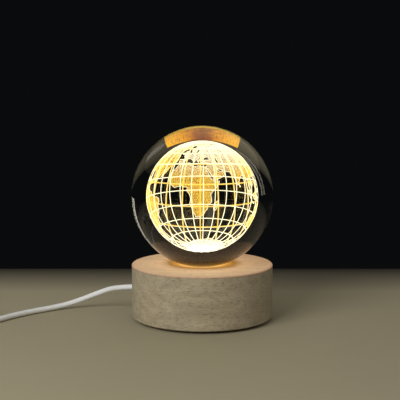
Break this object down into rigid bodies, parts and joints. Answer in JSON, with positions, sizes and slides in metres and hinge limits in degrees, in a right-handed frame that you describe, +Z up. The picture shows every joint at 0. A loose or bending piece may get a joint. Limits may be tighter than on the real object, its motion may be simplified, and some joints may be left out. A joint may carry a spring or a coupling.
{
  "type": "crystal ball lamp",
  "caption": "Clear glass ball resting loose in the dished, lit top of a round turned beech base, with a white low-voltage cord, in-line rocker switch and plug.",
  "frame": {"origin": "on the table, under the middle of the round base", "axes": "+Z up through the base and the ball; -Y faces the viewer of the picture; the cord leaves towards -X and slightly +Y"},
  "size_m": [0.235, 0.1016, 0.1095],
  "materials": {
    "beech": "fine sanded beech with a thin matt oil",
    "clear_glass": "polished clear crystal glass",
    "foot_rubber": "matt soft rubber",
    "frosted_cap": "frosted translucent plastic",
    "board_white": "white lacquered circuit board",
    "led_yellow": "clear resin over yellow phosphor",
    "resistor_black": "black glazed ceramic",
    "screw_steel": "zinc-plated steel",
    "wire_red": "red wire insulation",
    "wire_black": "black wire insulation",
    "clamp_nylon": "natural nylon",
    "cover_black": "fine-textured black plastic",
    "cord_white": "satin white cord sheath",
    "switch_white": "moulded white plastic, satin",
    "rocker_white": "moulded white plastic, glossy",
    "brass": "stamped brass",
    "plug_white": "moulded white grip",
    "plug_steel": "folded bright steel",
    "tongue_white": "moulded insulator",
    "gold": "gold-flashed contact"
  },
  "bodies": {
    "lamp": {"wood_base": "beech", "foot_1": "foot_rubber", "foot_2": "foot_rubber", "foot_3": "foot_rubber", "foot_4": "foot_rubber", "light_cap": "frosted_cap", "led_board": "board_white", "led_1": "led_yellow", "led_2": "led_yellow", "led_3": "led_yellow", "resistor": "resistor_black", "board_screw_1": "screw_steel", "board_screw_2": "screw_steel", "red_wire": "wire_red", "black_wire": "wire_black", "cord_clamp": "clamp_nylon", "clamp_screw_1": "screw_steel", "clamp_screw_2": "screw_steel", "bottom_cover": "cover_black", "cover_screw_1": "screw_steel", "cover_screw_2": "screw_steel", "cover_screw_3": "screw_steel", "cover_screw_4": "screw_steel", "cord_lead": "cord_white", "cord_coil": "cord_white", "cord_link": "cord_white", "cord_tail": "cord_white", "switch_lower_shell": "switch_white", "switch_upper_shell": "switch_white", "switch_terminal_1": "brass", "switch_terminal_2": "brass", "switch_wire_black": "wire_black", "switch_wire_red_1": "wire_red", "switch_wire_red_2": "wire_red", "switch_screw_1": "screw_steel", "switch_screw_2": "screw_steel", "usb_overmold": "plug_white", "usb_shell": "plug_steel", "usb_tongue": "tongue_white", "usb_contact_1": "gold", "usb_contact_2": "gold", "usb_contact_3": "gold", "usb_contact_4": "gold"},
    "ball": {"crystal_ball": "clear_glass"},
    "rocker": {"switch_rocker": "rocker_white", "rocker_contact": "brass"}
  },
  "joints": [
    {"name": "ball_lift", "type": "slide", "parent": "lamp", "child": "ball", "axis": [0, 0, 1], "range_m": [0, 0.06]},
    {"name": "rocker_tilt", "type": "hinge", "parent": "lamp", "child": "rocker", "pos_m": [-0.1875, 0.004, 0.0091], "axis": [1, 0, 0], "range_deg": [0, 14]}
  ]
}
